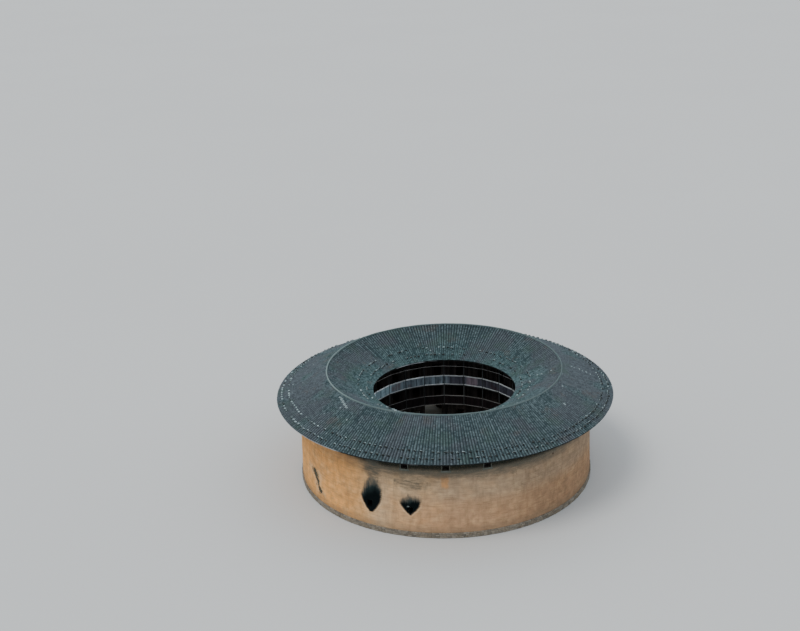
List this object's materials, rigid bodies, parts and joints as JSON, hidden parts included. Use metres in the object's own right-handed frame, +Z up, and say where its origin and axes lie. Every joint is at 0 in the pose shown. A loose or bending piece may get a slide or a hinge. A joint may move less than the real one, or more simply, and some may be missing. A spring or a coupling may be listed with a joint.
{
  "type": "tulou roundhouse",
  "caption": "Round rammed earth house with a ring roof sloping out and in, a round court, timber galleries, window holes and smoke vents.",
  "frame": {"origin": "on the ground at the centre of the court", "axes": "+Z up, -Y towards the front that the windows and smoke vents face, +X to the right of it"},
  "size_m": [37, 37, 12.24],
  "materials": {
    "footing_stone": "rough field stone laid in courses",
    "platform_stone": "worn stone kerb and beaten earth",
    "rammed_earth": "matt orange-brown rammed earth, sooty above the smoke vents",
    "gate_stone": "dressed granite",
    "dark_timber": "smoke-dark unpainted fir",
    "floor_boards": "worn unpainted floor boards",
    "gallery_timber": "weathered grey fir boards",
    "drying_pole": "pale bamboo",
    "roof_tile": "grey-green fired clay tiles, matt",
    "ridge_lime": "weathered lime mortar"
  },
  "bodies": {
    "root": {"footing_right": "footing_stone", "footing_left": "footing_stone", "platform_right": "platform_stone", "platform_left": "platform_stone", "earth_wall_front": "rammed_earth", "earth_wall_front_right": "rammed_earth", "earth_wall_right": "rammed_earth", "earth_wall_back_right": "rammed_earth", "earth_wall_back": "rammed_earth", "earth_wall_back_left": "rammed_earth", "earth_wall_left": "rammed_earth", "earth_wall_front_left": "rammed_earth", "earth_wall_left_vent": "rammed_earth", "earth_wall_over_left_vent": "rammed_earth", "gate_frame": "gate_stone", "gate_lintel_beam": "dark_timber", "gate_leaf_left": "dark_timber", "gate_leaf_right": "dark_timber", "second_floor_right": "floor_boards", "second_floor_left": "floor_boards", "third_floor_right": "floor_boards", "third_floor_left": "floor_boards", "ground_room_front_right": "dark_timber", "ground_room_front_left": "dark_timber", "second_room_front_right": "dark_timber", "second_room_front_left": "dark_timber", "third_room_front_right": "dark_timber", "third_room_front_left": "dark_timber", "second_gallery_right": "gallery_timber", "second_gallery_left": "gallery_timber", "third_gallery_right": "gallery_timber", "third_gallery_left": "gallery_timber", "drying_pole": "drying_pole", "roof_frame_front_right": "dark_timber", "roof_frame_back_right": "dark_timber", "roof_frame_back_left": "dark_timber", "roof_frame_front_left": "dark_timber", "outer_roof_front_right": "roof_tile", "outer_roof_back_right": "roof_tile", "outer_roof_back_left": "roof_tile", "outer_roof_front_left": "roof_tile", "inner_roof_front_right": "roof_tile", "inner_roof_back_right": "roof_tile", "inner_roof_back_left": "roof_tile", "inner_roof_front_left": "roof_tile", "ridge_cap": "ridge_lime"}
  },
  "joints": []
}
